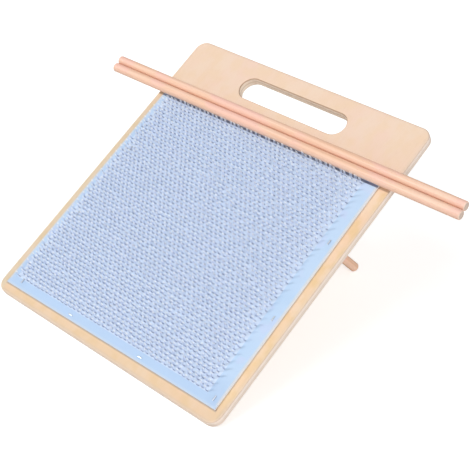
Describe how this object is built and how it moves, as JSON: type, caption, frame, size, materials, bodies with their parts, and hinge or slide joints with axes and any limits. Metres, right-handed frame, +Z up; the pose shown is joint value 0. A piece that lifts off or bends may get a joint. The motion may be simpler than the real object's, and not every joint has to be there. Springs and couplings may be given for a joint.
{
  "type": "fibre blending board",
  "caption": "Inclined wooden blending board with a card cloth face, a handle slot, two loose rods and plug-in dowel legs.",
  "frame": {"origin": "centre of the bounding box on the ground, under the board", "axes": "+X across the board along the rods, +Y from the lower edge towards the handle end, +Z up"},
  "size_m": [0.4504, 0.306, 0.1771],
  "materials": {
    "birch_plywood": "fine sanded birch plywood with a clear satin oil, ply layers showing at the edges",
    "card_foundation": "matt pale blue rubber facing on woven cotton layers, pale cut edges",
    "card_wire": "fine bright drawn steel wire",
    "staple_steel": "galvanised flat wire",
    "rod_beech": "smooth turned beech, lightly oiled",
    "block_wood": "planed beech, lightly oiled",
    "screw_steel": "brass-plated steel, cross slot",
    "leg_beech": "smooth turned beech, lightly oiled"
  },
  "bodies": {
    "base": {"board": "birch_plywood", "cloth_foundation": "card_foundation", "card_teeth": "card_wire", "staple_01": "staple_steel", "staple_02": "staple_steel", "staple_03": "staple_steel", "staple_04": "staple_steel", "staple_05": "staple_steel", "staple_06": "staple_steel", "staple_07": "staple_steel", "staple_08": "staple_steel", "staple_09": "staple_steel", "staple_10": "staple_steel", "staple_11": "staple_steel", "staple_12": "staple_steel", "left_leg_block": "block_wood", "right_leg_block": "block_wood", "block_screw_1": "screw_steel", "block_screw_2": "screw_steel", "block_screw_3": "screw_steel", "block_screw_4": "screw_steel"},
    "front_rod": {"front_rod": "rod_beech"},
    "rear_rod": {"rear_rod": "rod_beech"},
    "left_leg": {"left_leg": "leg_beech"},
    "right_leg": {"right_leg": "leg_beech"}
  },
  "joints": [
    {"name": "front_rod_lift", "type": "slide", "parent": "base", "child": "front_rod", "axis": [0, -0.4894, 0.8721], "range_m": [0, 0.06]},
    {"name": "rear_rod_lift", "type": "slide", "parent": "base", "child": "rear_rod", "axis": [0, -0.4894, 0.8721], "range_m": [0, 0.06]},
    {"name": "left_leg_pull", "type": "slide", "parent": "base", "child": "left_leg", "axis": [-0.2158, 0.6354, -0.7414], "range_m": [0, 0.03]},
    {"name": "right_leg_pull", "type": "slide", "parent": "base", "child": "right_leg", "axis": [0.2158, 0.6354, -0.7414], "range_m": [0, 0.03]}
  ]
}
